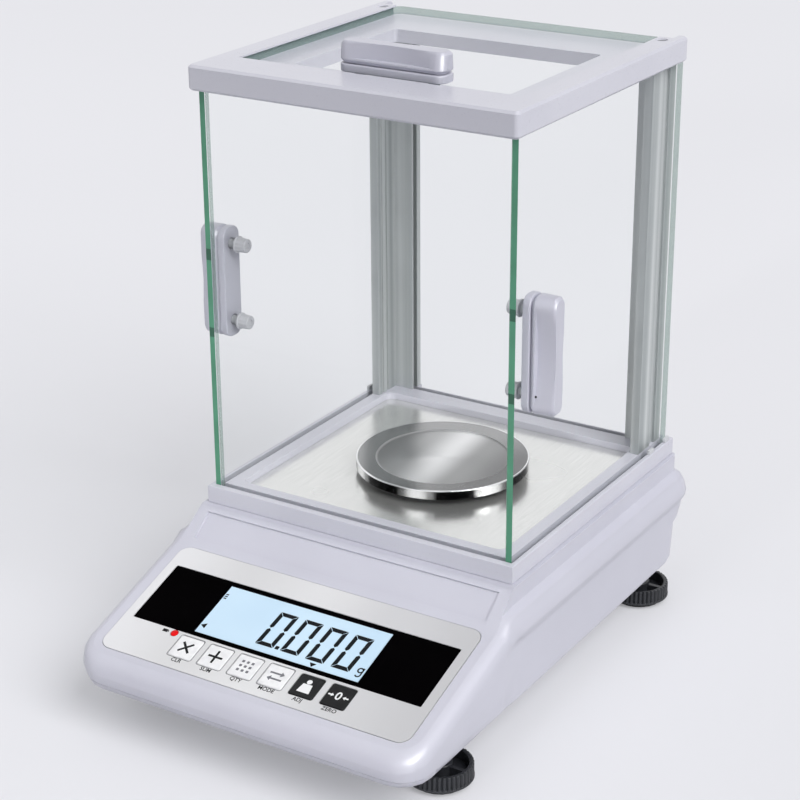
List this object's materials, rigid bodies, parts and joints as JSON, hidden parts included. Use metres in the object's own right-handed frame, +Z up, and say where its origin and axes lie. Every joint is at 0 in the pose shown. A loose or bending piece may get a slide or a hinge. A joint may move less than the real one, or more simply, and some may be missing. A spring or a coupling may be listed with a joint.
{
  "type": "electronic balance",
  "caption": "Electronic precision balance with a round pan in a glass draught shield with sliding side and top doors, a sloping key panel with display, and levelling feet.",
  "frame": {"origin": "centre of the bounding box on the floor under the feet", "axes": "+Z up, -Y towards the key panel, +X to the user's right"},
  "size_m": [0.2038, 0.2904, 0.3211],
  "materials": {
    "shell": "fine moulded texture, pale lavender grey",
    "overlay": "silver-white printed film",
    "window_black": "black printed acrylic",
    "lcd": "pale blue backlit display",
    "key_light": "silver-white key",
    "key_dark": "black key",
    "red_lamp": "red lamp lens",
    "circuit_board": "green circuit board",
    "frame_grey": "silver-grey moulding",
    "floor_steel": "pale satin stainless plate",
    "polished_steel": "polished stainless",
    "aluminium": "satin anodised extrusion",
    "battery": "dark battery case",
    "black_plastic": "black moulding",
    "glass": "clear float glass with green edges",
    "rubber": "dark rubber",
    "foot_plastic": "charcoal knurled plastic",
    "clear_plastic": "clear level lens with liquid",
    "white_plastic": "white glide"
  },
  "bodies": {
    "base": {"upper_housing": "shell", "lower_housing": "shell", "panel_overlay": "overlay", "display_window": "window_black", "lcd_module": "lcd", "charge_led": "red_lamp", "key_switch_board": "circuit_board", "shield_base_frame": "frame_grey", "chamber_floor_plate": "floor_steel", "load_cell": "aluminium", "load_cell_chassis": "aluminium", "main_board": "circuit_board", "battery_pack": "battery", "power_jack": "black_plastic", "power_switch_body": "black_plastic", "level_body": "black_plastic", "level_lens": "clear_plastic", "front_glass": "glass", "rear_glass": "glass", "left_rear_post": "aluminium", "right_rear_post": "aluminium", "top_frame": "frame_grey", "left_frame_screw": "polished_steel", "right_frame_screw": "polished_steel", "left_front_glide": "white_plastic", "left_rear_glide": "white_plastic", "right_front_glide": "white_plastic", "right_rear_glide": "white_plastic"},
    "key_clear": {"key_clear": "key_light"},
    "key_add": {"key_add": "key_light"},
    "key_count": {"key_count": "key_light"},
    "key_unit": {"key_unit": "key_light"},
    "key_calibrate": {"key_calibrate": "key_dark"},
    "key_tare": {"key_tare": "key_dark"},
    "pan_carrier": {"pan_carrier": "aluminium"},
    "weighing_pan": {"weighing_pan": "polished_steel"},
    "power_rocker": {"power_rocker": "black_plastic"},
    "left_door": {"left_door_glass": "glass", "left_handle_base": "shell", "left_handle_grip": "shell", "left_upper_knob": "shell", "left_lower_knob": "shell"},
    "right_door": {"right_door_glass": "glass", "right_handle_base": "shell", "right_handle_grip": "shell", "right_upper_knob": "shell", "right_lower_knob": "shell"},
    "top_door": {"top_door_glass": "glass", "top_handle_base": "shell", "top_handle_grip": "shell"},
    "front_left_pad": {"front_left_foot_pad": "rubber"},
    "front_left_wheel": {"front_left_foot_wheel": "foot_plastic"},
    "front_right_pad": {"front_right_foot_pad": "rubber"},
    "front_right_wheel": {"front_right_foot_wheel": "foot_plastic"},
    "rear_left_pad": {"rear_left_foot_pad": "rubber"},
    "rear_left_wheel": {"rear_left_foot_wheel": "foot_plastic"},
    "rear_right_pad": {"rear_right_foot_pad": "rubber"},
    "rear_right_wheel": {"rear_right_foot_wheel": "foot_plastic"}
  },
  "joints": [
    {"name": "key_clear_press", "type": "slide", "parent": "base", "child": "key_clear", "axis": [0, 0.3123, -0.95], "range_m": [0, 0.0005], "stiffness_N_per_m": 900, "springref_m": -0.0008},
    {"name": "key_add_press", "type": "slide", "parent": "base", "child": "key_add", "axis": [0, 0.3123, -0.95], "range_m": [0, 0.0005], "stiffness_N_per_m": 900, "springref_m": -0.0008},
    {"name": "key_count_press", "type": "slide", "parent": "base", "child": "key_count", "axis": [0, 0.3123, -0.95], "range_m": [0, 0.0005], "stiffness_N_per_m": 900, "springref_m": -0.0008},
    {"name": "key_unit_press", "type": "slide", "parent": "base", "child": "key_unit", "axis": [0, 0.3123, -0.95], "range_m": [0, 0.0005], "stiffness_N_per_m": 900, "springref_m": -0.0008},
    {"name": "key_calibrate_press", "type": "slide", "parent": "base", "child": "key_calibrate", "axis": [0, 0.3123, -0.95], "range_m": [0, 0.0005], "stiffness_N_per_m": 900, "springref_m": -0.0008},
    {"name": "key_tare_press", "type": "slide", "parent": "base", "child": "key_tare", "axis": [0, 0.3123, -0.95], "range_m": [0, 0.0005], "stiffness_N_per_m": 900, "springref_m": -0.0008},
    {"name": "weighing_travel", "type": "slide", "parent": "base", "child": "pan_carrier", "axis": [0, 0, -1], "range_m": [0, 0.0005], "stiffness_N_per_m": 12000, "springref_m": -0.0003},
    {"name": "pan_lift", "type": "slide", "parent": "pan_carrier", "child": "weighing_pan", "axis": [0, 0, 1], "range_m": [0, 0.05]},
    {"name": "power_rocker_tilt", "type": "hinge", "parent": "base", "child": "power_rocker", "pos_m": [0.05, 0.13355, 0.0344], "axis": [1, 0, 0], "range_deg": [0, 13.7]},
    {"name": "left_door_slide", "type": "slide", "parent": "base", "child": "left_door", "axis": [0, 1, 0], "range_m": [0, 0.115]},
    {"name": "right_door_slide", "type": "slide", "parent": "base", "child": "right_door", "axis": [0, 1, 0], "range_m": [0, 0.115]},
    {"name": "top_door_slide", "type": "slide", "parent": "base", "child": "top_door", "axis": [0, 1, 0], "range_m": [0, 0.11]},
    {"name": "front_left_lift", "type": "slide", "parent": "base", "child": "front_left_pad", "axis": [0, 0, -1], "range_m": [-0.0041, 0.0041]},
    {"name": "front_left_turn", "type": "hinge", "parent": "front_left_pad", "child": "front_left_wheel", "pos_m": [-0.0785, -0.09275, 0], "axis": [0, 0, 1], "range_deg": [-1240, 1240]},
    {"name": "front_right_lift", "type": "slide", "parent": "base", "child": "front_right_pad", "axis": [0, 0, -1], "range_m": [-0.0041, 0.0041]},
    {"name": "front_right_turn", "type": "hinge", "parent": "front_right_pad", "child": "front_right_wheel", "pos_m": [0.0785, -0.09275, 0], "axis": [0, 0, 1], "range_deg": [-1240, 1240]},
    {"name": "rear_left_lift", "type": "slide", "parent": "base", "child": "rear_left_pad", "axis": [0, 0, -1], "range_m": [-0.0041, 0.0041]},
    {"name": "rear_left_turn", "type": "hinge", "parent": "rear_left_pad", "child": "rear_left_wheel", "pos_m": [-0.0785, 0.11875, 0], "axis": [0, 0, 1], "range_deg": [-1240, 1240]},
    {"name": "rear_right_lift", "type": "slide", "parent": "base", "child": "rear_right_pad", "axis": [0, 0, -1], "range_m": [-0.0041, 0.0041]},
    {"name": "rear_right_turn", "type": "hinge", "parent": "rear_right_pad", "child": "rear_right_wheel", "pos_m": [0.0785, 0.11875, 0], "axis": [0, 0, 1], "range_deg": [-1240, 1240]}
  ],
  "couplings": [
    {"joint": "front_left_turn", "follows": "front_left_lift", "rad_per_m": 5026.5},
    {"joint": "front_right_turn", "follows": "front_right_lift", "rad_per_m": 5026.5},
    {"joint": "rear_left_turn", "follows": "rear_left_lift", "rad_per_m": 5026.5},
    {"joint": "rear_right_turn", "follows": "rear_right_lift", "rad_per_m": 5026.5}
  ]
}
